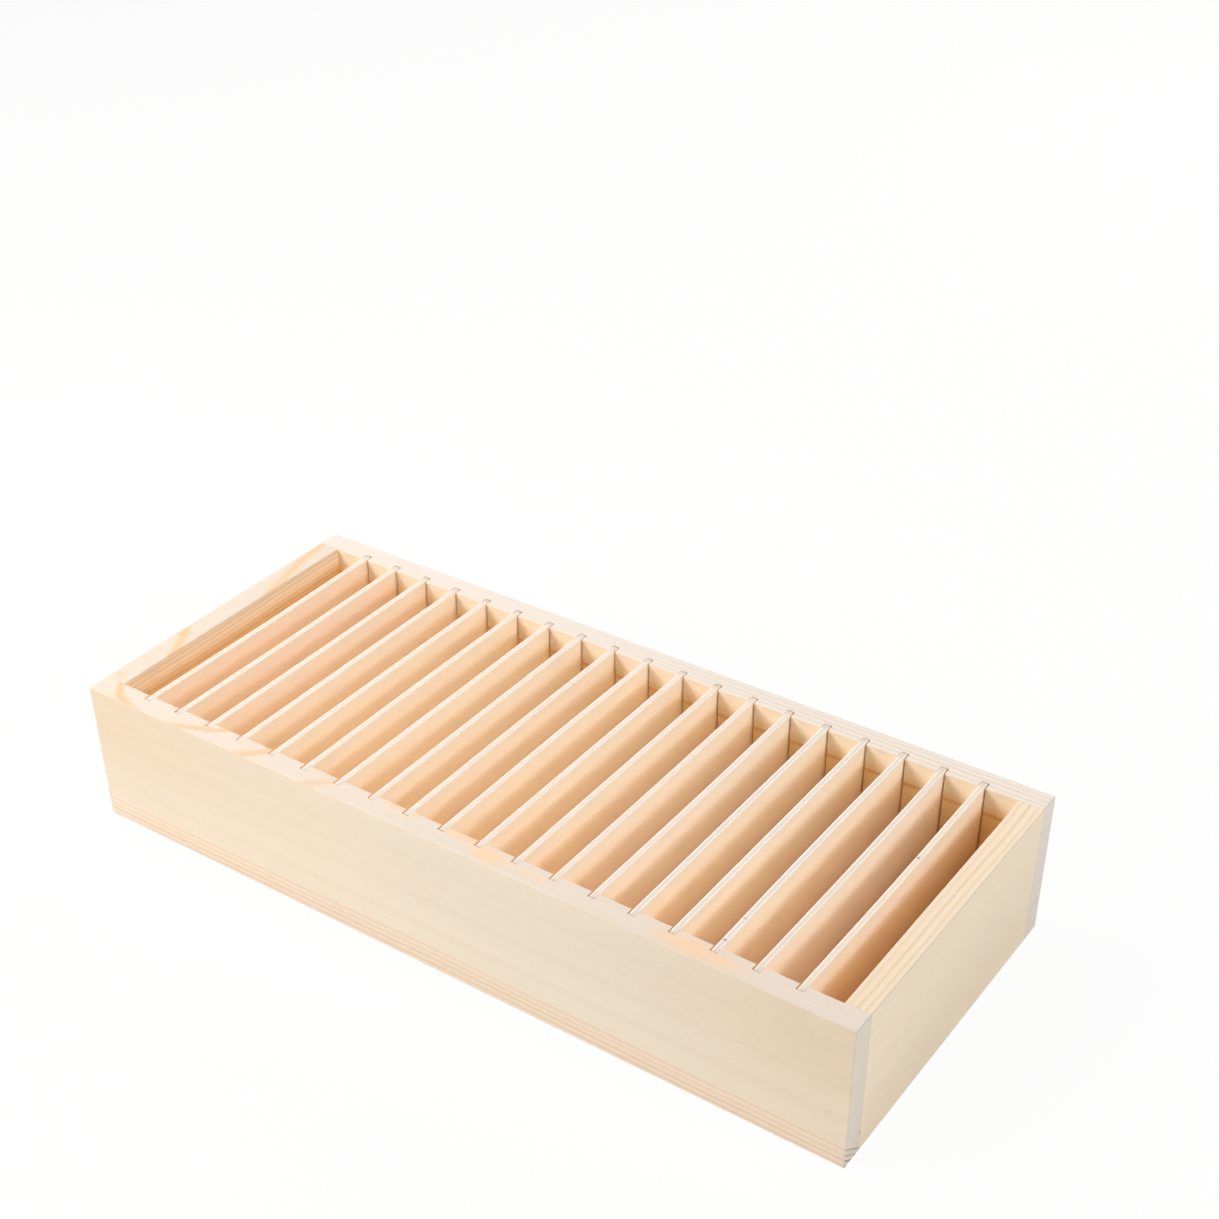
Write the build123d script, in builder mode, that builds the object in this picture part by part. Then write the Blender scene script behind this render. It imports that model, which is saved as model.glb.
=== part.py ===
from build123d import *
from math import cos, radians
import os

# Card storage box: a low pine tray whose row of thin plywood dividers lifts out of upright slots.
# X runs along the length from left to right, Y from front to rear and Z up, in millimetres.
# The origin is the middle of the underside.

# Outside of the box
length = 420.0
depth = 181.0
height = 76.0

# Pine boards of the four walls
board_thickness = 12.0
bottom_round = 1.0  # rounding along the outer bottom edges
top_round = 0.6  # rounding along the outer top edges
corner_round = 0.5  # rounding down the four upright corners
inner_bevel = 0.4  # bevel along the inner top edges

# Plywood base, held in a groove that runs round the inside of the walls
base_thickness = 3.0
base_rise = 5.0  # from the bottom of the walls to the underside of the base
groove_depth = 4.0
groove_clearance = 0.2  # room over the base, and past each of its edges

# Plywood dividers, each standing on the base in a pair of upright slots
divider_count = 19
divider_thickness = 3.0
divider_bevel = 0.25  # bevel along the two long top edges
slot_depth = 4.0  # into the front and rear boards
slot_clearance = 0.8  # how much wider a slot is than its divider
end_clearance = 0.4  # from each end of a divider to the end of its slot
row_shift = 0.6  # the row of slots stands this far right of the middle
side_gap = 0.1  # least room beside a divider that has settled to one side of its slots
settle_step = 137.0  # degrees that the settling turns through from one divider to the next

# Sizes that follow from the ones above
inner_length = length - 2 * board_thickness
inner_depth = depth - 2 * board_thickness
base_top = base_rise + base_thickness
bay = (inner_length - divider_count * divider_thickness) / (divider_count + 1)
pitch = bay + divider_thickness
slot_width = divider_thickness + slot_clearance
slot_height = height - base_top
divider_length = inner_depth + 2 * (slot_depth - end_clearance)
slot_centres = [row_shift + pitch * (i - (divider_count - 1) / 2) for i in range(divider_count)]

os.makedirs("parts", exist_ok=True)

# Front board: it runs the full length, so its end grain shows on both end faces of the box
with BuildPart() as front_panel:
    with Locations((0, -(depth - board_thickness) / 2, height / 2)):
        Box(length, board_thickness, height)

    # All but the inner edge of the bottom, then of the top, and the two outer corners
    fillet(front_panel.faces().sort_by(Axis.Z)[0].edges().sort_by(Axis.Y)[:-1], bottom_round)
    fillet(front_panel.faces().sort_by(Axis.Z)[-1].edges().sort_by(Axis.Y)[:-1], top_round)
    fillet(front_panel.edges().filter_by(Axis.Z).group_by(Axis.Y)[0], corner_round)

    # Bevel along the inner top edge, only between the end boards
    with BuildSketch(Plane.YZ.offset(-inner_length / 2)):
        with Locations((-inner_depth / 2, height)):
            Polygon((0, 0), (-inner_bevel, 0), (0, -inner_bevel), align=None)
    extrude(amount=inner_length, mode=Mode.SUBTRACT)

    # Groove for the base, stopped short of the ends of the board
    with Locations((0, -(inner_depth + groove_depth) / 2, base_rise)):
        Box(
            inner_length + 2 * groove_depth,
            groove_depth,
            base_thickness + groove_clearance,
            align=(Align.CENTER, Align.CENTER, Align.MIN),
            mode=Mode.SUBTRACT,
        )

    # Upright slots for the dividers, open at the top
    with Locations(*[(x, -(inner_depth + slot_depth) / 2, base_top) for x in slot_centres]):
        Box(
            slot_width,
            slot_depth,
            slot_height,
            align=(Align.CENTER, Align.CENTER, Align.MIN),
            mode=Mode.SUBTRACT,
        )
front_panel.part.label = "front_panel"
export_step(front_panel.part, "parts/front_panel.step")

# Rear board: the front board's mirror image, with its slots facing the front ones
with BuildPart() as rear_panel:
    mirror(front_panel.part, about=Plane.XZ)
rear_panel.part.label = "rear_panel"
export_step(rear_panel.part, "parts/rear_panel.step")

# Left end board: butted between the front and rear boards
with BuildPart() as left_end_panel:
    with Locations((-(length - board_thickness) / 2, 0, height / 2)):
        Box(board_thickness, inner_depth, height)
    fillet(left_end_panel.faces().sort_by(Axis.Z)[0].edges().sort_by(Axis.X)[0], bottom_round)
    fillet(left_end_panel.faces().sort_by(Axis.Z)[-1].edges().sort_by(Axis.X)[0], top_round)
    chamfer(left_end_panel.faces().sort_by(Axis.Z)[-1].edges().sort_by(Axis.X)[-1], inner_bevel)

    # Groove for the base, from one long board to the other
    with Locations((-(inner_length + groove_depth) / 2, 0, base_rise)):
        Box(
            groove_depth,
            inner_depth,
            base_thickness + groove_clearance,
            align=(Align.CENTER, Align.CENTER, Align.MIN),
            mode=Mode.SUBTRACT,
        )
left_end_panel.part.label = "left_end_panel"
export_step(left_end_panel.part, "parts/left_end_panel.step")

# Right end board: the left one's mirror image
with BuildPart() as right_end_panel:
    mirror(left_end_panel.part, about=Plane.YZ)
right_end_panel.part.label = "right_end_panel"
export_step(right_end_panel.part, "parts/right_end_panel.step")

# Base: one plywood sheet that lies on the floor of the groove
base_overlap = groove_depth - groove_clearance
with BuildPart() as base_panel:
    with BuildSketch(Plane.XY.offset(base_rise)):
        Rectangle(inner_length + 2 * base_overlap, inner_depth + 2 * base_overlap)
    extrude(amount=base_thickness)
base_panel.part.label = "base_panel"
export_step(base_panel.part, "parts/base_panel.step")


# Divider: a plywood sheet on edge, flush with the top of the box
def build_divider(number):
    side_play = slot_clearance / 2 - side_gap
    settled = side_play * cos(radians(settle_step * number))
    centre = slot_centres[number - 1] + settled
    with BuildPart() as divider:
        with BuildSketch(Plane.XY.offset(base_top)):
            with Locations((centre, 0)):
                Rectangle(divider_thickness, divider_length)
        extrude(amount=slot_height)
        chamfer(divider.faces().sort_by(Axis.Z)[-1].edges().filter_by(Axis.Y), divider_bevel)
    divider.part.label = f"divider_{number:02d}"
    export_step(divider.part, f"parts/divider_{number:02d}.step")


for number in range(1, divider_count + 1):
    build_divider(number)
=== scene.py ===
import math

import bmesh
import bpy
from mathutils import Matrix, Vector


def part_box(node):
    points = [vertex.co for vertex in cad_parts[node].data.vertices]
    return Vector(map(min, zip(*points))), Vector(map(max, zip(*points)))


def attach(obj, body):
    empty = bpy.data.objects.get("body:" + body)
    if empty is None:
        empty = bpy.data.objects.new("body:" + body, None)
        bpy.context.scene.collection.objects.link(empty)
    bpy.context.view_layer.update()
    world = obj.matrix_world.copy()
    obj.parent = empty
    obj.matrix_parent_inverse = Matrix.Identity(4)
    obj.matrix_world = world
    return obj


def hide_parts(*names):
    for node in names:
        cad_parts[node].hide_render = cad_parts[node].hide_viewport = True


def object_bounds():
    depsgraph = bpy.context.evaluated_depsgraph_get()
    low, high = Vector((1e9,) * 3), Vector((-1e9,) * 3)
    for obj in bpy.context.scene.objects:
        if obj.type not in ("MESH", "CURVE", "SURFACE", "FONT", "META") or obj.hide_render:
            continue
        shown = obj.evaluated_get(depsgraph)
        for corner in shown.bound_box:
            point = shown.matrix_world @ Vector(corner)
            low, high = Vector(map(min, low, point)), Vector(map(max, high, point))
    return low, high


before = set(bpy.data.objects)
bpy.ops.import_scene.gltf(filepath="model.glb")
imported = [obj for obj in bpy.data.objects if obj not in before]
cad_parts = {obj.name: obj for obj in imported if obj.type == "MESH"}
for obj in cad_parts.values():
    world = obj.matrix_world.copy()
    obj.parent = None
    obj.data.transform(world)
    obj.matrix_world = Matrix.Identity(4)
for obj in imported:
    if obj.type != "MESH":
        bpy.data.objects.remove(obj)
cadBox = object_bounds()
scene = bpy.context.scene
print("frame loaded:", len(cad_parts), "nodes")


# Small helpers for building node trees

def addNode(tree, kind, inputs=None, **settings):
    made = tree.nodes.new("ShaderNode" + kind)
    for name, value in settings.items():
        setattr(made, name, value)
    for name, value in (inputs or {}).items():
        feed(tree, made.inputs[name], value)
    return made


def feed(tree, socket, value):
    if isinstance(value, bpy.types.NodeSocket):
        tree.links.new(value, socket)
    else:
        socket.default_value = value


def maths(tree, operation, *values):
    made = addNode(tree, "Math", operation=operation)
    for socket, value in zip(made.inputs, values):
        feed(tree, socket, value)
    return made.outputs[0]


def vectorMaths(tree, operation, first, second):
    return addNode(tree, "VectorMath", {0: first, 1: second}, operation=operation).outputs[0]


# X, Y and Z of a vector
def split(tree, vector):
    return addNode(tree, "SeparateXYZ", {0: vector}).outputs


def smoothStep(tree, value, low, high, fromValue=0.0, toValue=1.0):
    made = addNode(tree, "MapRange", {"Value": value, "From Min": low, "From Max": high, "To Min": fromValue,
                                      "To Max": toValue}, interpolation_type="SMOOTHSTEP")
    return made.outputs["Result"]


# A curve through given points in real units, the first of them at 0
def floatCurve(tree, value, points):
    span = points[-1][0]
    rise = max(y for x, y in points)
    made = addNode(tree, "FloatCurve", {"Value": maths(tree, "DIVIDE", value, span)})
    curve = made.mapping.curves[0]
    curve.points[0].location = (0.0, points[0][1] / rise)
    curve.points[1].location = (1.0, points[-1][1] / rise)
    for x, y in points[1:-1]:
        curve.points.new(x / span, y / rise)
    for point in curve.points:
        point.handle_type = "VECTOR"
    made.mapping.update()
    return maths(tree, "MULTIPLY", made.outputs[0], rise)


# Moves base up or down by a pattern from 0 to 1, whose middle leaves it as it is
def sway(tree, base, pattern, amount):
    return maths(tree, "MULTIPLY_ADD", maths(tree, "SUBTRACT", pattern, 0.5), amount, base)


def mixColours(tree, factor, first, second, blend="MIX"):
    made = addNode(tree, "Mix", data_type="RGBA", blend_type=blend)
    feed(tree, made.inputs[0], factor)
    feed(tree, made.inputs[6], first)
    feed(tree, made.inputs[7], second)
    return made.outputs[2]


# A colour made lighter or darker by a factor
def shaded(tree, wood, factor):
    made = addNode(tree, "VectorMath", {0: wood}, operation="SCALE")
    feed(tree, made.inputs["Scale"], factor)
    return made.outputs[0]


# Linear colour from a hex code
def colour(code):
    parts = [int(code[i:i + 2], 16) / 255 for i in (0, 2, 4)]
    return tuple(p / 12.92 if p <= 0.04045 else ((p + 0.055) / 1.055) ** 2.4 for p in parts) + (1.0,)


# Inputs are (name, kind, first value) and outputs (name, kind)
def newGroup(name, inputs, outputs):
    group = bpy.data.node_groups.new(name, "ShaderNodeTree")
    for label, kind, value in inputs:
        socket = group.interface.new_socket(label, in_out="INPUT", socket_type="NodeSocket" + kind)
        if value is not None:
            socket.default_value = value
    for label, kind in outputs:
        group.interface.new_socket(label, in_out="OUTPUT", socket_type="NodeSocket" + kind)
    return group, group.nodes.new("NodeGroupInput").outputs, group.nodes.new("NodeGroupOutput").inputs


def placeGroup(tree, group, inputs):
    made = addNode(tree, "Group", node_tree=group)
    for name, value in inputs.items():
        feed(tree, made.inputs[name], value)
    return made.outputs


# Camera at the photograph's viewing angle

cameraValues = {
    "location": (0.44473, -0.594292, 0.602674),
    "angles": (54.1758, 0.9417, 35.5676),
    "lens": 58.1186,
    "sensorWidth": 36.0,
    "shift": (0.0352, 0.11925),
}
cameraData = bpy.data.cameras.new("camera")
camera = bpy.data.objects.new("camera", cameraData)
scene.collection.objects.link(camera)
scene.camera = camera
camera.location = cameraValues["location"]
camera.rotation_euler = [math.radians(angle) for angle in cameraValues["angles"]]
cameraData.sensor_width = cameraValues["sensorWidth"]
cameraData.lens = cameraValues["lens"]
cameraData.shift_x, cameraData.shift_y = cameraValues["shift"]
print("camera placed")


# Soft studio lamps. Those without an aim or a tint of their own take the two below.

lampAim = (0, 0, 0.05)
lampTint = (1.0, 0.945, 0.90)
lamps = {
    "topLeftSoftbox": {"place": (-0.9, -0.1, 1.2), "size": (0.8, 0.8), "power": 11.4},
    "nearLeftFront": {"place": (-0.30, -0.35, 0.55), "aim": (-0.05, 0, 0.05), "size": (0.28, 0.28), "power": 0.5},
    "nearLeft": {"place": (-0.30, 0.0, 0.55), "aim": (-0.05, 0, 0.05), "size": (0.28, 0.28), "power": 0.25},
    "leftFrontSoftbox": {"place": (-1.0, -1.2, 0.9), "size": (0.7, 0.7), "power": 1.9},
    "leftFrontFar": {"place": (-1.6, -2.4, 1.6), "size": (1.4, 1.4), "power": 48.8},
    "rightSoftbox": {"place": (1.4, 0.0, 0.89), "size": (0.5, 0.42), "power": 10.7, "tint": (0.90, 0.935, 0.94)},
    "rearSoftbox": {"place": (0.0, 1.6, 0.9), "size": (1.0, 0.7), "power": 12.9},
}
for name, values in lamps.items():
    lampData = bpy.data.lights.new(name, "AREA")
    lampData.shape = "RECTANGLE"
    lampData.size, lampData.size_y = values["size"]
    lampData.energy = values["power"]
    lampData.color = values.get("tint", lampTint)
    lamp = bpy.data.objects.new(name, lampData)
    scene.collection.objects.link(lamp)
    lamp.location = values["place"]
    way = Vector(values.get("aim", lampAim)) - lamp.location
    lamp.rotation_euler = way.to_track_quat("-Z", "Y").to_euler()

backdropValues = {
    "size": 6.0,
    "shade": 0.9,  # of the floor
    "roughness": 0.9,
    "shadowShare": 0.06,  # how much of the floor's own shading shows
    "fill": 0.02,  # strength of the world as a light
}


# 1 for the rays that show the backdrop: straight to the camera, in gloss or through glass
def seenRays(tree):
    path = addNode(tree, "LightPath").outputs
    first = maths(tree, "MAXIMUM", path["Is Camera Ray"], path["Is Glossy Ray"])
    return maths(tree, "MAXIMUM", first, path["Is Transmission Ray"])


def buildWorld():
    world = bpy.data.worlds.new("studio")
    world.use_nodes = True
    tree = world.node_tree
    background = tree.nodes["Background"]
    background.inputs["Color"].default_value = (1, 1, 1, 1)
    fill = backdropValues["fill"]
    tree.links.new(maths(tree, "MULTIPLY_ADD", seenRays(tree), 1.0 - fill, fill), background.inputs["Strength"])
    scene.world = world


def buildFloor():
    half = backdropValues["size"] / 2
    mesh = bpy.data.meshes.new("floor")
    form = bmesh.new()
    corners = ((-half, -half), (half, -half), (half, half), (-half, half))
    form.faces.new([form.verts.new((x, y, 0.0)) for x, y in corners])
    form.to_mesh(mesh)
    form.free()
    floor = bpy.data.objects.new("floor", mesh)
    scene.collection.objects.link(floor)

    material = bpy.data.materials.new("paleFloor")
    material.use_nodes = True
    tree = material.node_tree
    shader = tree.nodes["Principled BSDF"]
    shade = backdropValues["shade"]
    shader.inputs["Base Color"].default_value = (shade, shade, shade, 1)
    shader.inputs["Roughness"].default_value = backdropValues["roughness"]
    glow = addNode(tree, "Emission", {"Color": (1, 1, 1, 1), "Strength": 1.0})
    mixed = addNode(tree, "MixShader")
    plain = maths(tree, "MULTIPLY", seenRays(tree), 1.0 - backdropValues["shadowShare"])
    tree.links.new(plain, mixed.inputs[0])
    tree.links.new(shader.outputs[0], mixed.inputs[1])
    tree.links.new(glow.outputs[0], mixed.inputs[2])
    tree.links.new(mixed.outputs[0], tree.nodes["Material Output"].inputs["Surface"])
    mesh.materials.append(material)


buildWorld()
buildFloor()
print("lamps, world and floor placed")


# Node groups shared by the materials

fibreValues = {
    # scale along the grain, scale across it and detail of each layer
    "layers": {"Fibre": (34.0, 1900.0, 3.0), "Streak": (6.0, 260.0, 2.0), "Cloud": (3.0, 28.0, 1.0),
               "Pores": (210.0, 5200.0, 0.0)},
    "roughness": 0.6,
    "poreEdge": (0.60, 0.74),  # values of the noise between which a pore grows full
}


# Fine streaks along the grain, which runs along X of Position, in metres
def buildFibreGroup():
    layers = fibreValues["layers"]
    group, given, out = newGroup("woodFibre", [("Position", "Vector", None), ("Seed", "Float", 0.0)],
                                 [(label, "Float") for label in layers])
    offset = addNode(group, "CombineXYZ", {"X": given["Seed"], "Y": given["Seed"]}).outputs[0]
    moved = vectorMaths(group, "ADD", given["Position"], offset)
    for label, (along, across, detail) in layers.items():
        stretched = vectorMaths(group, "MULTIPLY", moved, (along, across, across))
        value = addNode(group, "TexNoise", {"Vector": stretched, "Scale": 1.0, "Detail": detail,
                                            "Roughness": fibreValues["roughness"]}).outputs["Fac"]
        if label == "Pores":
            value = smoothStep(group, value, *fibreValues["poreEdge"])
        group.links.new(value, out[label])
    return group


# Places in a year, which goes from 0 to 1
ringValues = {
    "shareEnd": 0.92,  # the share of late wood counts back from here
    "full": 0.90,
    "fall": 0.94,
}


# Late wood of each year: Count is a running number of years, and a line ends sharply at each whole number
def buildRingGroup():
    group, given, out = newGroup("growthRings", [("Count", "Float", 0.0), ("Share", "Float", 0.3),
                                                 ("Unevenness", "Float", 0.5)], [("Late Wood", "Float")])
    year = maths(group, "FLOOR", given["Count"])
    part = maths(group, "SUBTRACT", given["Count"], year)
    start = maths(group, "SUBTRACT", ringValues["shareEnd"], given["Share"])
    rise = smoothStep(group, part, start, ringValues["full"])
    fall = smoothStep(group, part, ringValues["fall"], 1.0, 1.0, 0.0)
    tone = addNode(group, "TexWhiteNoise", {"W": year}, noise_dimensions="1D").outputs["Value"]
    weaker = maths(group, "SUBTRACT", 1.0, maths(group, "MULTIPLY", tone, given["Unevenness"]))
    group.links.new(maths(group, "MULTIPLY", maths(group, "MULTIPLY", rise, fall), weaker), out["Late Wood"])
    return group


endGrainValues = {
    "facing": (0.6, 0.8),  # how far a surface faces along X where the sawn end begins and is full
    "scale": 2600.0,
    "detail": 2.0,
    "roughness": 0.7,
}


# Speckle of cut fibres on a sawn end, and how much the surface faces along X
def buildEndGrainGroup():
    group, given, out = newGroup("endGrain", [("Position", "Vector", None), ("Facing", "Vector", None)],
                                 [("Mask", "Float"), ("Speckle", "Float")])
    across = maths(group, "ABSOLUTE", split(group, given["Facing"])["X"])
    group.links.new(smoothStep(group, across, *endGrainValues["facing"]), out["Mask"])
    speckle = addNode(group, "TexNoise", {"Vector": given["Position"], "Scale": endGrainValues["scale"],
                                          "Detail": endGrainValues["detail"],
                                          "Roughness": endGrainValues["roughness"]})
    group.links.new(speckle.outputs["Fac"], out["Speckle"])
    return group


# A thin shaded line where two boards meet: Distance is the way to the joint's plane
def buildJointGroup():
    group, given, out = newGroup("gluedJoint", [("Distance", "Float", 1.0), ("Width", "Float", 0.25)],
                                 [("Line", "Float")])
    away = maths(group, "ABSOLUTE", given["Distance"])
    group.links.new(smoothStep(group, away, 0.0, given["Width"], 1.0, 0.0), out["Line"])
    return group


spotValues = {
    "core": 0.35,  # share of the reach that is full
    "noiseScale": 0.35,
    "noiseDetail": 2.0,
}


# A soft spot of resin or a knot's edge, longer along one way than the other, in millimetres
def buildSpotGroup():
    group, given, out = newGroup("resinSpot", [("Position", "Vector", None), ("Centre", "Vector", (0, 0, 0)),
                                               ("Reach", "Vector", (1, 1, 1)), ("Roughening", "Float", 0.3)],
                                 [("Spot", "Float")])
    away = vectorMaths(group, "SUBTRACT", given["Position"], given["Centre"])
    scaled = vectorMaths(group, "DIVIDE", away, given["Reach"])
    distance = addNode(group, "VectorMath", {0: scaled}, operation="LENGTH").outputs["Value"]
    noise = addNode(group, "TexNoise", {"Vector": given["Position"], "Scale": spotValues["noiseScale"],
                                        "Detail": spotValues["noiseDetail"]}).outputs["Fac"]
    ragged = sway(group, distance, noise, given["Roughening"])
    group.links.new(smoothStep(group, ragged, spotValues["core"], 1.0, 1.0, 0.0), out["Spot"])
    return group


fibreGroup = buildFibreGroup()
ringGroup = buildRingGroup()
endGrainGroup = buildEndGrainGroup()
jointGroup = buildJointGroup()
spotGroup = buildSpotGroup()
print("node groups built")


# Pine boards of the four walls
# Places inside the materials are millimetres from the box's front left bottom corner.

low, high = cadBox
corner = Vector(low)
length, depth, height = [(high[i] - low[i]) * 1000 for i in range(3)]
board = (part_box("front_panel")[1].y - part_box("front_panel")[0].y) * 1000


# Position in metres, and in millimetres from the corner
def placeOnBox(tree):
    position = addNode(tree, "TexCoord").outputs["Object"]
    fromCorner = vectorMaths(tree, "SUBTRACT", position, corner)
    return position, vectorMaths(tree, "MULTIPLY", fromCorner, (1000, 1000, 1000))


# Position with X and Y changed over, for grain that runs along Y
def turned(tree, position):
    parts = split(tree, position)
    return addNode(tree, "CombineXYZ", {"X": parts["Y"], "Y": parts["X"], "Z": parts["Z"]}).outputs[0]


# Slow drift of the rings: drift gives the scale along the grain, the scale across it and the size
def wander(tree, position, drift):
    alongScale, acrossScale, size = drift
    stretched = vectorMaths(tree, "MULTIPLY", position, (alongScale, acrossScale, acrossScale))
    noise = addNode(tree, "TexNoise", {"Vector": stretched, "Scale": 1.0, "Detail": 2.0}).outputs["Fac"]
    return maths(tree, "MULTIPLY", maths(tree, "SUBTRACT", noise, 0.5), size)


# Number of years up to a place, which drifts
def yearCount(tree, position, place, drift, year):
    return maths(tree, "DIVIDE", maths(tree, "ADD", place, wander(tree, position, drift)), year)


# How far a place is past the inner faces of two walls that stand a size apart, in mm
def pastInner(tree, place, size):
    fromMiddle = maths(tree, "ABSOLUTE", maths(tree, "SUBTRACT", place, size / 2))
    return maths(tree, "SUBTRACT", fromMiddle, size / 2 - board)


archValues = {
    "raise": 5.0,  # mm, lifts the curves, which can't go below 0
    "core": 0.15,  # share of the thickness that is full
    "fade": 1.0,  # mm at both ends
}


# Arches of late wood that run out over a top edge, each a soft line through (along, across) points in mm
def archMask(tree, along, across, arches):
    mask = 0.0
    lift, fade = archValues["raise"], archValues["fade"]
    for arch in arches:
        points, thickness = arch["points"], arch["thickness"]
        start, end = points[0][0], points[-1][0]
        raised = [(a - start, b + lift) for a, b in points]
        centre = floatCurve(tree, maths(tree, "SUBTRACT", along, start), raised)
        centre = maths(tree, "SUBTRACT", centre, lift)
        away = maths(tree, "ABSOLUTE", maths(tree, "SUBTRACT", centre, across))
        line = smoothStep(tree, away, thickness * archValues["core"], thickness, arch["strength"], 0.0)
        within = maths(tree, "MULTIPLY", smoothStep(tree, along, start, start + fade),
                       smoothStep(tree, along, end - fade, end, 1.0, 0.0))
        mask = maths(tree, "MAXIMUM", mask, maths(tree, "MULTIPLY", line, within))
    return mask


# Stripes of late wood along a top edge
def stripeMask(tree, count, values, strength):
    rings = placeGroup(tree, ringGroup, {"Count": count, "Share": values["topShare"],
                                         "Unevenness": values["topUnevenness"]})
    return maths(tree, "MULTIPLY", rings["Late Wood"], strength)


# Each board has a dictionary and a grain function. The function gives the number of years at a place, how strong
# their lines are, the late wood on the top edge and, where ends are seen, how strong the lines are there.
# Lengths are in mm, and a drift is what wander takes.

frontBoard = {
    "material": "frontBoardPine",
    "node": "front_panel",
    "grainAlong": "X",
    "seed": 1.0,
    "wood": "F6EBD8", "lateWood": "EADABF", "innerWood": "FCE8CC", "spotWood": "F3D1AE",
    "warmWood": "F1DCC0", "bandWood": "F8E6D2", "bandLateWood": "E6CAAA",
    "topWood": "E4D8CB", "topLateWood": "E5C39A", "endWood": "F0E4D4", "endLateWood": "937C6C",
    "ringShare": 0.4,  # of a year that is late wood
    "outerLines": 1.0,  # strength of the lines outside, against those inside
    "drift": (16.0, 60.0, 1.3),
    # levels at which each year ends
    "years": ((0, 0.4), (1.8, 1), (5.0, 2), (7.9, 3), (11.1, 4), (23.3, 5), (37.7, 6), (50.7, 7), (62, 8), (76, 9),
              (140, 14)),
    # strength of the lines at each height
    "strength": ((0, 0.9), (11, 0.9), (14, 0.6), (16, 0.22), (30, 0.3), (52, 0.28), (66, 0.14), (76, 0)),
    "bandTop": (13.0, 20.0),  # heights between which the forms of the low band of close lines give way
    "bandEdge": (10.6, 12.4),  # levels between which its colours do
    # how far the close lines rise along the board
    "lift": ((0, 0), (30, 0), (100, 0.6), (210, 1.9), (300, 1.4), (350, 1.0), (420, 0.5)),
    "inwardSlope": 0.75,  # of the close lines from face to face
    "tilt": 0.0005,  # of the faint lines along the board
    "tiltTop": (38.0, 56.0),
    # how warm the wood is along the board
    "warmth": ((0, 0.9), (40, 0.75), (100, 0.45), (170, 0.2), (290, 0.15), (350, 0.35), (390, 0.65), (420, 0.75)),
    "warmRise": (22.0, 56.0, 0.45, 1.0),
    "endFades": (11.0, 14.0),
    # (along the board, across it)
    "arches": (
        {"points": ((8, 14), (10.4, 11.3), (12.8, 8.2), (15.4, 5.0), (18.6, 2.6), (23, 0.8), (28, -0.8), (36, -3)),
         "thickness": 4.4, "strength": 0.95},
        {"points": ((46, -3), (53, -0.8), (58, 0.8), (62, 2.2), (66.7, 4.2), (72.5, 6.4), (77.5, 8.9), (80.8, 11.2),
                    (84, 14)),
         "thickness": 2.9, "strength": 0.9},
        {"points": ((92, -4), (98, 0.3), (101.5, 2.75), (104.5, 5.7), (106.6, 8.2), (108.4, 10.7), (111, 15)),
         "thickness": 5.2, "strength": 0.85},
        {"points": ((134, -4), (139, 1), (143.5, 4.8), (146.2, 6.9), (148.6, 9), (152, 14)),
         "thickness": 5.0, "strength": 0.6},
    ),
    # centre, reach along each axis and strength
    "spots": (
        ((223, 10.0, 76), (18, 4.4, 4), 0.75),
        ((238, 5.8, 76), (13, 6.2, 4), 0.85),
        ((187, 10.5, 76), (13, 4.5, 4), 0.5),
        ((262, 5.2, 76), (14, 3, 4), 0.4),
        ((344, 5.2, 76), (30, 7, 4), 0.8),
    ),
}


# Close lines in a band low on its face, faint ones above, and arches over its top
def frontGrain(tree, values, position, x, y, z):
    lowDown = smoothStep(tree, z, *values["bandTop"], 1.0, 0.0)
    lift = maths(tree, "MULTIPLY", floatCurve(tree, x, values["lift"]), lowDown)
    inward = maths(tree, "MULTIPLY", maths(tree, "MULTIPLY", y, values["inwardSlope"]), lowDown)
    tilt = maths(tree, "MULTIPLY", maths(tree, "MULTIPLY", x, z), values["tilt"])
    tilt = maths(tree, "MULTIPLY", tilt, smoothStep(tree, z, *values["tiltTop"], 1.0, 0.0))
    tilt = maths(tree, "MULTIPLY", tilt, smoothStep(tree, z, *values["bandTop"]))
    level = maths(tree, "SUBTRACT", maths(tree, "SUBTRACT", z, tilt), lift)
    level = maths(tree, "ADD", maths(tree, "ADD", level, inward), wander(tree, position, values["drift"]))
    warmUp = smoothStep(tree, z, *values["warmRise"])
    return {
        "count": floatCurve(tree, level, values["years"]),
        "strength": floatCurve(tree, z, values["strength"]),
        "warm": maths(tree, "MULTIPLY", floatCurve(tree, x, values["warmth"]), warmUp),
        "band": smoothStep(tree, level, *values["bandEdge"], 1.0, 0.0),
        "top": archMask(tree, x, y, values["arches"]),
        "end": smoothStep(tree, z, *values["endFades"], 1.0, 0.0),
    }


rearBoard = {
    "material": "rearBoardPine",
    "node": "rear_panel",
    "grainAlong": "X",
    "seed": 2.0,
    "wood": "FDEFD6", "lateWood": "EEC592", "innerWood": "FEF1D8",
    "topWood": "E9E1D8", "topLateWood": "E0CFB9", "endWood": "F8EADF", "endLateWood": "BDAC9F",
    "ringShare": 0.12,
    "outerLines": 0.5,
    "drift": (9.0, 30.0, 2.0),
    "years": ((0, 0.3), (8, 1), (19, 2), (32, 3), (47, 4), (63.5, 5), (90, 6), (140, 8)),
    "strength": 0.75,
    "endStrength": 0.15,
    "topDrift": (8.0, 40.0, 1.6),
    "topYear": 3.0,
    "topShare": 0.5,
    "topUnevenness": 0.5,
    "topRise": (120.0, 330.0, 0.12, 1.0),  # the stripes come up from the left to the right
    "spots": (),
}


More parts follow.
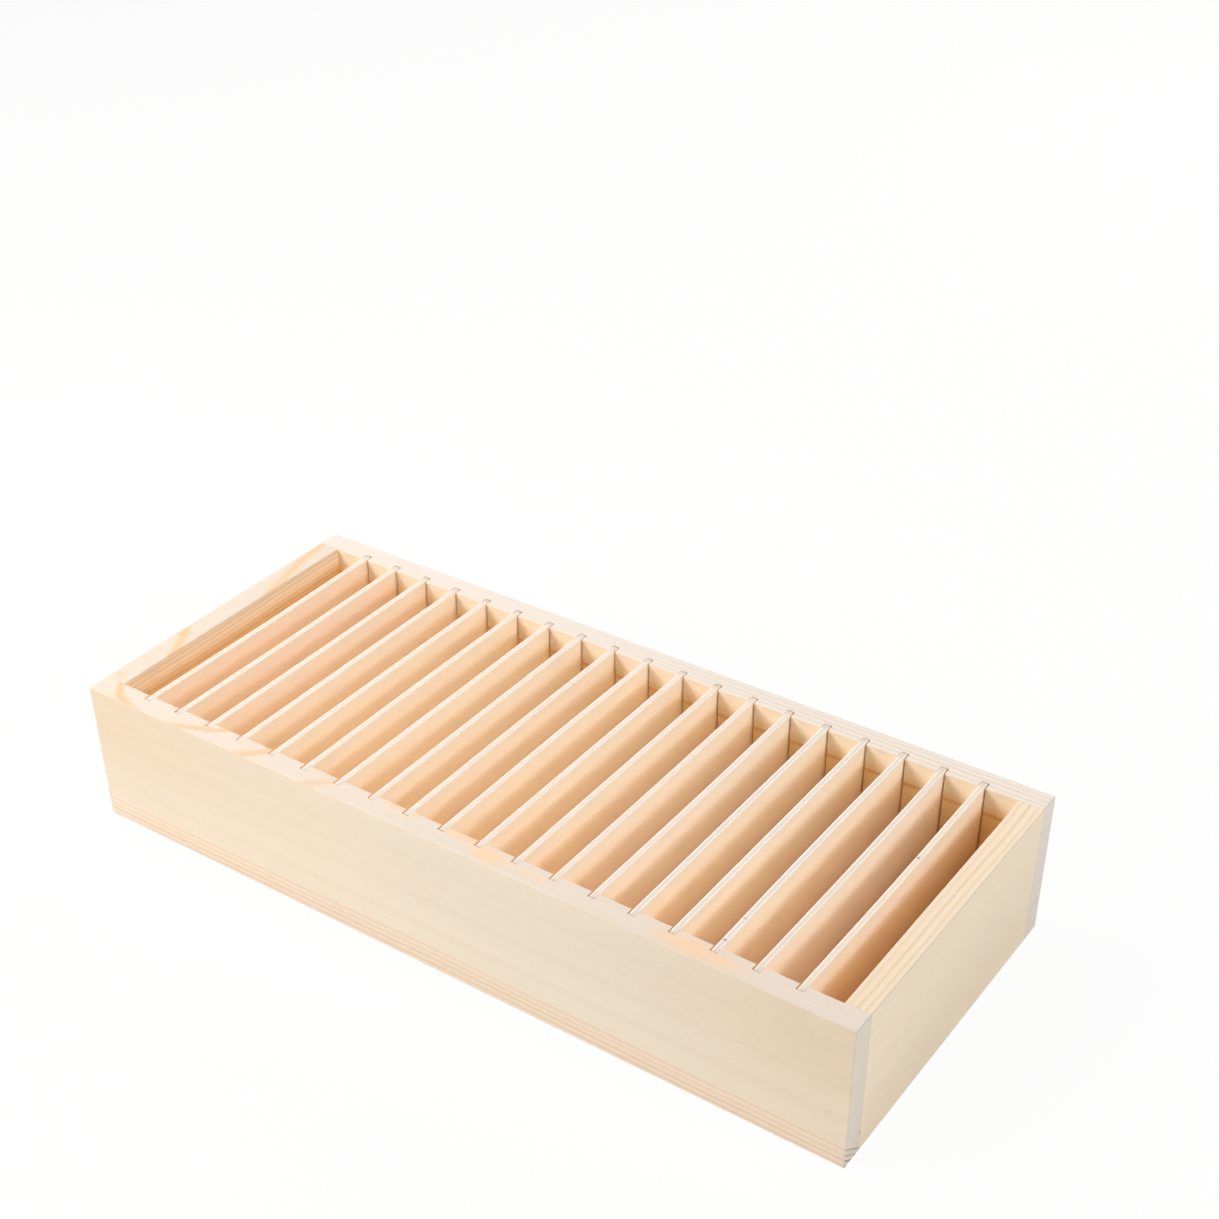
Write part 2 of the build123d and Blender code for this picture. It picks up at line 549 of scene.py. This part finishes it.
# Wide years on its faces and straight stripes along its top
def rearGrain(tree, values, position, x, y, z):
    inward = maths(tree, "SUBTRACT", y, depth - board)
    stripes = yearCount(tree, position, inward, values["topDrift"], values["topYear"])
    level = maths(tree, "ADD", z, wander(tree, position, values["drift"]))
    return {
        "count": floatCurve(tree, level, values["years"]),
        "strength": values["strength"],
        "top": stripeMask(tree, stripes, values, smoothStep(tree, x, *values["topRise"])),
        "end": values["endStrength"],
    }


leftEnd = {
    "material": "leftEndPine",
    "node": "left_end_panel",
    "grainAlong": "Y",
    "seed": 3.0,
    "wood": "F2E4CA", "lateWood": "E6BB8E", "innerWood": "FBECD0", "spotWood": "E8C496",
    "topWood": "E2D6C7", "topLateWood": "E8C496",
    "ringShare": 0.45,
    "outerLines": 0.4,
    "drift": (9.0, 14.0, 1.6),
    "year": 2.7,
    "strength": 0.65,
    "arches": (
        {"points": ((36, 19), (42, 13), (49, 10.5), (54, 8), (58, 5.4), (62, 3.2), (66, 0.5), (70, -3)),
         "thickness": 4.2, "strength": 0.9},
        {"points": ((106, 17), (112, 13), (118, 11.3), (128, 9.4), (136, 7.2), (144, 4.6), (155, 3.2), (169, 2),
                    (186, 0.5)),
         "thickness": 4.0, "strength": 0.8},
    ),
    "spots": (
        ((4.5, 16.5, 76), (5, 3.2, 4), 0.45),
        ((3, 62, 76), (4.5, 5, 4), 0.6),
    ),
}


# Close lines on its faces and arches over its top
def leftGrain(tree, values, position, x, y, z):
    down = maths(tree, "DIVIDE", maths(tree, "SUBTRACT", height, z), values["year"])
    return {
        "count": maths(tree, "ADD", down, wander(tree, position, values["drift"])),
        "strength": values["strength"],
        "top": archMask(tree, y, x, values["arches"]),
    }


rightEnd = {
    "material": "rightEndPine",
    "node": "right_end_panel",
    "grainAlong": "Y",
    "seed": 4.0,
    "wood": "FEEACF", "lateWood": "EAD2B1", "innerWood": "F8E5CB",
    "topWood": "F0DFC9", "topLateWood": "E6CBA3",
    "ringShare": 0.4,
    "outerLines": 1.0,
    "drift": (26.0, 24.0, 3.4),
    "year": 2.8,
    "strength": 0.6,
    "linesFrom": (3.0, 8.0),  # heights between which the lines come up
    "linesTo": (18.0, 34.0),  # and go again
    "topDrift": (16.0, 30.0, 3.4),
    "topYear": 3.5,
    "topShare": 0.55,
    "topUnevenness": 0.5,
    "spots": (),
}


# Straight stripes along its top, and a few faint wavy lines low on its plain faces
def rightGrain(tree, values, position, x, y, z):
    inward = maths(tree, "SUBTRACT", length, x)
    stripes = yearCount(tree, position, inward, values["topDrift"], values["topYear"])
    window = maths(tree, "MULTIPLY", smoothStep(tree, z, *values["linesFrom"]),
                   smoothStep(tree, z, *values["linesTo"], 1.0, 0.0))
    return {
        "count": yearCount(tree, position, z, values["drift"], values["year"]),
        "strength": maths(tree, "MULTIPLY", window, values["strength"]),
        "top": stripeMask(tree, stripes, values, 1.0),
    }


pineValues = {
    "unevenness": 0.4,  # of the years' lines
    "upward": (0.5, 0.8),  # how far a surface faces up where the top edge begins and is full
    "inside": (4.5, 6.0),  # mm past the inner faces where the inner wood ends, behind slots and groove
    "paintedShade": (60.0, 71.0),  # heights between which the painted shade, a yellower tint on the inner faces lower down, fades out
    "paintedShadeTint": "FFF6D6",
    "sawn": (0.1, 0.5),  # mm past the inner faces where the sawn slots and grooves begin
    "sawnWood": "EAC49A",  # browner than the planed faces
    "endSpeckle": 0.18,
    "endSpeckleColour": (0.35, 0.29, 0.27, 1),
    "shades": {"Fibre": 0.06, "Streak": 0.06, "Cloud": 0.05},
    "poreShade": -0.05,
    "jointWidth": 0.22,
    "jointShade": -0.16,
    "jointStart": (-0.15, 0.05),  # mm past the end boards' inner faces
    "roughness": 0.52,
    "streakRoughness": 0.14,
    "lateWoodRoughness": -0.06,
    "specular": 0.3,
    "poreRelief": -0.6,  # against that of the fibres
    "lateWoodRelief": 0.5,
    "bumpStrength": 0.22,
    "bumpDistance": 0.00006,
}


def faceWood(tree, values, grain, late, inside, z):
    face, lateWood = colour(values["wood"]), colour(values["lateWood"])
    if "band" in grain:
        face = mixColours(tree, grain["warm"], face, colour(values["warmWood"]))
        face = mixColours(tree, grain["band"], face, colour(values["bandWood"]))
        lateWood = mixColours(tree, grain["band"], lateWood, colour(values["bandLateWood"]))
    face = mixColours(tree, inside, face, colour(values["innerWood"]))
    face = mixColours(tree, late, face, lateWood)
    # Painted shade: the inner faces are tinted yellower and darker lower down, standing in for light bounced between
    # the walls
    paintedShade = maths(tree, "MULTIPLY", inside, smoothStep(tree, z, *pineValues["paintedShade"], 1.0, 0.0))
    return mixColours(tree, paintedShade, face, colour(pineValues["paintedShadeTint"]), "MULTIPLY")


def topWood(tree, values, grain, inMillimetres):
    top = mixColours(tree, grain["top"], colour(values["topWood"]), colour(values["topLateWood"]))
    for centre, reach, amount in values["spots"]:
        spot = placeGroup(tree, spotGroup, {"Position": inMillimetres, "Centre": centre, "Reach": reach})["Spot"]
        top = mixColours(tree, maths(tree, "MULTIPLY", spot, amount), top, colour(values["spotWood"]))
    return top


# Lays the wood of the sawn ends over the rest
def endWood(tree, values, grain, wood, position, facing, lateWood):
    ends = placeGroup(tree, endGrainGroup, {"Position": position, "Facing": facing})
    lines = maths(tree, "MULTIPLY", lateWood, grain["end"])
    cut = mixColours(tree, lines, colour(values["endWood"]), colour(values["endLateWood"]))
    speckle = maths(tree, "MULTIPLY", ends["Speckle"], pineValues["endSpeckle"])
    cut = mixColours(tree, speckle, cut, pineValues["endSpeckleColour"])
    return mixColours(tree, ends["Mask"], wood, cut)


def pineMaterial(values, grainOf):
    material = bpy.data.materials.new(values["material"])
    material.use_nodes = True
    tree = material.node_tree
    shader = tree.nodes["Principled BSDF"]
    position, inMillimetres = placeOnBox(tree)
    x, y, z = split(tree, inMillimetres)
    along = position if values["grainAlong"] == "X" else turned(tree, position)
    facing = addNode(tree, "TexCoord").outputs["Normal"]
    onTop = smoothStep(tree, split(tree, facing)["Z"], *pineValues["upward"])
    grain = grainOf(tree, values, along, x, y, z)

    sideways = pastInner(tree, y, depth)
    nearEnd = pastInner(tree, x, length)
    past = maths(tree, "MAXIMUM", sideways, nearEnd)
    inside = smoothStep(tree, past, *pineValues["inside"], 1.0, 0.0)

    rings = placeGroup(tree, ringGroup, {"Count": grain["count"], "Share": values["ringShare"],
                                         "Unevenness": pineValues["unevenness"]})["Late Wood"]
    outer = values["outerLines"]
    late = maths(tree, "MULTIPLY", rings, grain["strength"])
    late = maths(tree, "MULTIPLY", late, maths(tree, "MULTIPLY_ADD", inside, 1.0 - outer, outer))
    fibre = placeGroup(tree, fibreGroup, {"Position": along, "Seed": values["seed"]})

    wood = mixColours(tree, onTop, faceWood(tree, values, grain, late, inside, z),
                      topWood(tree, values, grain, inMillimetres))
    if "end" in grain:
        wood = endWood(tree, values, grain, wood, position, facing, rings)
    sawn = maths(tree, "MULTIPLY", inside, smoothStep(tree, past, *pineValues["sawn"]))
    sawn = maths(tree, "MULTIPLY", sawn, maths(tree, "SUBTRACT", 1.0, onTop))
    wood = mixColours(tree, sawn, wood, colour(pineValues["sawnWood"]))

    # Streaks, clouds and pores, and thin lines at the glued corners
    shade = 1.0
    for label, amount in pineValues["shades"].items():
        shade = sway(tree, shade, fibre[label], amount)
    shade = maths(tree, "MULTIPLY_ADD", fibre["Pores"], pineValues["poreShade"], shade)
    joint = placeGroup(tree, jointGroup, {"Distance": sideways, "Width": pineValues["jointWidth"]})["Line"]
    joint = maths(tree, "MULTIPLY", joint, smoothStep(tree, nearEnd, *pineValues["jointStart"]))
    shade = maths(tree, "MULTIPLY_ADD", joint, pineValues["jointShade"], shade)
    tree.links.new(shaded(tree, wood, shade), shader.inputs["Base Color"])

    rough = maths(tree, "MULTIPLY_ADD", fibre["Streak"], pineValues["streakRoughness"], pineValues["roughness"])
    rough = maths(tree, "MULTIPLY_ADD", late, pineValues["lateWoodRoughness"], rough)
    tree.links.new(rough, shader.inputs["Roughness"])
    shader.inputs["Specular IOR Level"].default_value = pineValues["specular"]
    relief = maths(tree, "MULTIPLY_ADD", fibre["Pores"], pineValues["poreRelief"], fibre["Fibre"])
    relief = maths(tree, "MULTIPLY_ADD", late, pineValues["lateWoodRelief"], relief)
    bump = addNode(tree, "Bump", {"Strength": pineValues["bumpStrength"], "Distance": pineValues["bumpDistance"],
                                  "Height": relief})
    tree.links.new(bump.outputs[0], shader.inputs["Normal"])
    return material


for values, grainOf in ((frontBoard, frontGrain), (rearBoard, rearGrain), (leftEnd, leftGrain),
                        (rightEnd, rightGrain)):
    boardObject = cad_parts[values["node"]]
    boardObject.data.materials.clear()
    boardObject.data.materials.append(pineMaterial(values, grainOf))
print("pine boards finished")


# Plywood of the dividers and the base

plyEdgeValues = {
    "core": 0.42,  # how far out from the sheet's middle its core goes, from 0 to 1
    "coreFade": 0.06,
    "glueWidth": 0.14,
    "unevenness": 0.16,
    "unevenScale": 900.0,
    "speckleScale": 1700.0,
    "detail": 2.0,
}


# Three layers on a cut edge: Across runs from -1 at one face to 1 at the other
def buildPlyEdgeGroup():
    group, given, out = newGroup("plyEdge", [("Position", "Vector", None), ("Across", "Float", 0.0),
                                             ("Core", "Float", plyEdgeValues["core"])],
                                 [("Core Wood", "Float"), ("Glue Line", "Float"), ("Speckle", "Float")])
    uneven, speckle = [addNode(group, "TexNoise", {"Vector": given["Position"], "Scale": plyEdgeValues[scale],
                                                   "Detail": plyEdgeValues["detail"]}).outputs["Fac"]
                       for scale in ("unevenScale", "speckleScale")]
    way = sway(group, maths(group, "ABSOLUTE", given["Across"]), uneven, plyEdgeValues["unevenness"])
    coreStart = maths(group, "SUBTRACT", given["Core"], plyEdgeValues["coreFade"])
    group.links.new(smoothStep(group, way, coreStart, given["Core"], 1.0, 0.0), out["Core Wood"])
    fromGlue = maths(group, "ABSOLUTE", maths(group, "SUBTRACT", way, given["Core"]))
    group.links.new(smoothStep(group, fromGlue, 0.0, plyEdgeValues["glueWidth"], 1.0, 0.0), out["Glue Line"])
    group.links.new(speckle, out["Speckle"])
    return group


plyEdgeGroup = buildPlyEdgeGroup()

plyValues = {
    "flat": (0.55, 0.8),  # how far a surface faces the sheet's own way where its veneer begins and is full
    "nearTop": (62.0, 68.0),  # heights in mm between which the painted shade comes in, a less red tint over the veneer's lit upper band
    "paintedShadeTopTint": "FAFDFF",
    "shades": {"Fibre": 0.05, "Streak": 0.05, "Cloud": 0.06},
    "glue": "CDB8A2",
    "glueStrength": 0.2,
    "speckle": 0.10,
    "speckleColour": (0.45, 0.36, 0.28, 1),
    "speckColour": "8C7460",
    "roughness": 0.56,
    "streakRoughness": 0.12,
    "specular": 0.25,
    "glow": 1.0,  # light soaks into the pale sheets
    "glowReach": (3.5, 3.5, 3.5),  # in mm
    "glowScale": 0.001,
    "poreRelief": -0.6,  # against that of the fibres
    "bumpStrength": 0.18,
    "bumpDistance": 0.00005,
}
plySheets = {
    "plain": {"veneer": "FDEDDA", "veneerStreak": "FCE9D4", "edgeVeneer": "ECE1D7", "core": "E6D8CE", "seed": 10.0},
    "warm": {"veneer": "FBEAD7", "veneerStreak": "FBE6D2", "edgeVeneer": "ECE1D5", "core": "E5D8CB", "seed": 11.0},
    "soft": {"veneer": "FCECD9", "veneerStreak": "FBE9D4", "edgeVeneer": "ECE8E4", "core": "DCD4CD", "seed": 12.0},
    "pale": {"veneer": "FCEDDD", "veneerStreak": "FBEAD8", "edgeVeneer": "EDE3DB", "core": "E4D8CE", "seed": 13.0},
    "sallow": {"veneer": "FCECDA", "veneerStreak": "FBE9D5", "edgeVeneer": "ECE5DC", "core": "DED3C6", "seed": 14.0},
    "ruddy": {"veneer": "F9E9D9", "veneerStreak": "F8E5D2", "edgeVeneer": "F0E7DB", "core": "E4D8C8", "seed": 15.0},
}


# The axis that the sheet faces is in values, and across(tree) gives the place through it, from -1 to 1
def plyMaterial(name, values, across):
    material = bpy.data.materials.new(name)
    material.use_nodes = True
    tree = material.node_tree
    shader = tree.nodes["Principled BSDF"]
    position, inMillimetres = placeOnBox(tree)
    facing = split(tree, addNode(tree, "TexCoord").outputs["Normal"])[values["facing"]]
    flat = smoothStep(tree, maths(tree, "ABSOLUTE", facing), *plyValues["flat"])
    fibre = placeGroup(tree, fibreGroup, {"Position": turned(tree, position), "Seed": values["seed"]})
    edge = placeGroup(tree, plyEdgeGroup, {"Position": position, "Across": across(tree)})

    veneer = mixColours(tree, fibre["Streak"], colour(values["veneer"]), colour(values["veneerStreak"]))
    # Painted shade: the veneer is made less red near its top, where the lamps light it most
    nearTop = smoothStep(tree, split(tree, inMillimetres)["Z"], *plyValues["nearTop"])
    veneer = mixColours(tree, nearTop, veneer, colour(plyValues["paintedShadeTopTint"]), "MULTIPLY")
    cut = mixColours(tree, edge["Core Wood"], colour(values["edgeVeneer"]), colour(values["core"]))
    glueLine = maths(tree, "MULTIPLY", edge["Glue Line"], plyValues["glueStrength"])
    cut = mixColours(tree, glueLine, cut, colour(plyValues["glue"]))
    speckle = maths(tree, "MULTIPLY", edge["Speckle"], plyValues["speckle"])
    cut = mixColours(tree, speckle, cut, plyValues["speckleColour"])
    wood = mixColours(tree, flat, cut, veneer)
    for centre, reach, amount in values.get("specks", ()):
        spot = placeGroup(tree, spotGroup, {"Position": inMillimetres, "Centre": centre, "Reach": reach})["Spot"]
        wood = mixColours(tree, maths(tree, "MULTIPLY", spot, amount), wood, colour(plyValues["speckColour"]))
    shade = 1.0
    for label, amount in plyValues["shades"].items():
        shade = sway(tree, shade, fibre[label], amount)
    tree.links.new(shaded(tree, wood, shade), shader.inputs["Base Color"])

    rough = maths(tree, "MULTIPLY_ADD", fibre["Streak"], plyValues["streakRoughness"], plyValues["roughness"])
    tree.links.new(rough, shader.inputs["Roughness"])
    shader.inputs["Specular IOR Level"].default_value = plyValues["specular"]
    shader.inputs["Subsurface Weight"].default_value = plyValues["glow"]
    shader.inputs["Subsurface Radius"].default_value = plyValues["glowReach"]
    shader.inputs["Subsurface Scale"].default_value = plyValues["glowScale"]
    relief = maths(tree, "MULTIPLY_ADD", fibre["Pores"], plyValues["poreRelief"], fibre["Fibre"])
    bump = addNode(tree, "Bump", {"Strength": plyValues["bumpStrength"], "Distance": plyValues["bumpDistance"],
                                  "Height": relief})
    tree.links.new(bump.outputs[0], shader.inputs["Normal"])
    return material


# Lengths are in mm
dividerValues = {
    "count": 19,
    "middle": 10,  # number of the one in the middle of the row
    "pitch": 19.95,  # from one pair of slots to the next
    "rowShift": 0.6,
    "play": 0.3,  # how far each end stands to one side in its slot: the front one right, the rear one left
    "bow": {1: 0.6, 2: 0.4, 3: 0.3, 6: -0.4, 9: -0.3, 10: -0.4, 13: 0.3, 14: 0.4, 17: -0.45, 18: 0.45, 19: 0.5},
    "bowShape": 1.5,
    "bowBelow": 0.35,  # share of the bow that is left at the bottom
    "roundness": 0.25,  # of the long top edges
    "roundSteps": 3,
    "lengthSteps": 32,
    "heightSteps": 8,
    "sharpAngle": 40.0,  # degrees from which an edge isn't shaded smooth
    # the rest are plain
    "sheetOf": {1: "warm", 2: "warm", 3: "warm", 14: "pale", 15: "soft", 16: "soft", 17: "soft", 18: "sallow",
                19: "ruddy"},
    # centre, across counted from the sheet's middle, then reach and strength
    "specks": {17: (((0, 17, 76), (1.4, 0.9, 1.2), 0.7), ((0, 33, 76), (1.2, 0.8, 1.0), 0.5)),
               19: (((0, 108, 75.6), (1.0, 1.1, 1.4), 0.85),)},
}


# Cross-section as (across, height) pairs, up the right side, over the rounded edges and down the left side
def dividerOutline(half, bottom, top):
    radius = dividerValues["roundness"] / 1000
    heightSteps, roundSteps = dividerValues["heightSteps"], dividerValues["roundSteps"]
    right = [(half, bottom + (top - radius - bottom) * i / heightSteps) for i in range(heightSteps + 1)]
    for i in range(1, roundSteps + 1):
        angle = math.pi / 2 * i / roundSteps
        right.append((half - radius + radius * math.cos(angle), top - radius + radius * math.sin(angle)))
    return right + [(-x, z) for x, z in reversed(right)]


def dividerMesh(name, number, centre, low, high):
    half = (high.x - low.x) / 2
    play = dividerValues["play"] / 1000
    bow = dividerValues["bow"].get(number, 0.0) / 1000
    bowBelow = dividerValues["bowBelow"]
    outline = dividerOutline(half, low.z, high.z)
    form = bmesh.new()
    across = form.verts.layers.float.new("across")
    loops = []
    for i in range(dividerValues["lengthSteps"] + 1):
        share = i / dividerValues["lengthSteps"]
        y = low.y + (high.y - low.y) * share
        swing = bow * math.sin(math.pi * share) ** dividerValues["bowShape"]
        middle = centre + play * (1.0 - 2.0 * share)
        loop = []
        for x, z in outline:
            lean = bowBelow + (1.0 - bowBelow) * (z - low.z) / (high.z - low.z)
            vertex = form.verts.new((middle + x + swing * lean, y, z))
            vertex[across] = x / half
            loop.append(vertex)
        loops.append(loop)
    for first, second in zip(loops, loops[1:]):
        for i in range(len(outline)):
            j = (i + 1) % len(outline)
            form.faces.new((first[i], first[j], second[j], second[i]))
    form.faces.new(list(reversed(loops[0])))
    form.faces.new(loops[-1])
    bmesh.ops.recalc_face_normals(form, faces=form.faces)
    for face in form.faces:
        face.smooth = True
    for edge in form.edges:
        edge.smooth = edge.calc_face_angle(0.0) < math.radians(dividerValues["sharpAngle"])
    mesh = bpy.data.meshes.new(name)
    form.to_mesh(mesh)
    form.free()
    return mesh


# Place through a divider, kept on its mesh
def throughDivider(tree):
    return addNode(tree, "Attribute", attribute_name="across").outputs["Fac"]


# Dividers with dark specks have a material of their own
def dividerMaterial(number, centre):
    sheet = dividerValues["sheetOf"].get(number, "plain")
    if number not in dividerValues["specks"]:
        return sheetMaterials[sheet]
    specks = [((centre * 1000 + length / 2 + x, y, z), reach, amount)
              for (x, y, z), reach, amount in dividerValues["specks"][number]]
    return plyMaterial(f"dividerPly{number:02d}", dict(plySheets[sheet], facing="X", specks=specks), throughDivider)


def buildDivider(number):
    node = f"divider_{number:02d}"
    name = f"dividerSheet{number:02d}"
    low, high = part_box(node)
    centre = (dividerValues["rowShift"] + dividerValues["pitch"] * (number - dividerValues["middle"])) / 1000
    mesh = dividerMesh(name, number, centre, low, high)
    mesh.materials.append(dividerMaterial(number, centre))
    piece = bpy.data.objects.new(name, mesh)
    scene.collection.objects.link(piece)
    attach(piece, node)
    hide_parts(node)


sheetMaterials = {name: plyMaterial(name + "DividerPly", dict(values, facing="X"), throughDivider)
                  for name, values in plySheets.items()}
for number in range(1, dividerValues["count"] + 1):
    buildDivider(number)
print("dividers built")


# Place through the base, from -1 at its underside to 1 on top
def throughBase(tree):
    low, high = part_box("base_panel")
    z = split(tree, addNode(tree, "TexCoord").outputs["Object"])["Z"]
    return maths(tree, "DIVIDE", maths(tree, "SUBTRACT", z, (low.z + high.z) / 2), (high.z - low.z) / 2)


baseValues = dict(plySheets["warm"], facing="Z", seed=20.0)
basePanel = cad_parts["base_panel"]
basePanel.data.materials.clear()
basePanel.data.materials.append(plyMaterial("basePly", baseValues, throughBase))
print("base finished")

# Light goes from wall to wall many times before it gets out from between the pale dividers
bounceValues = {"diffuse": 12, "all": 16}
scene.cycles.diffuse_bounces = bounceValues["diffuse"]
scene.cycles.max_bounces = bounceValues["all"]
scene.view_settings.view_transform = "Standard"
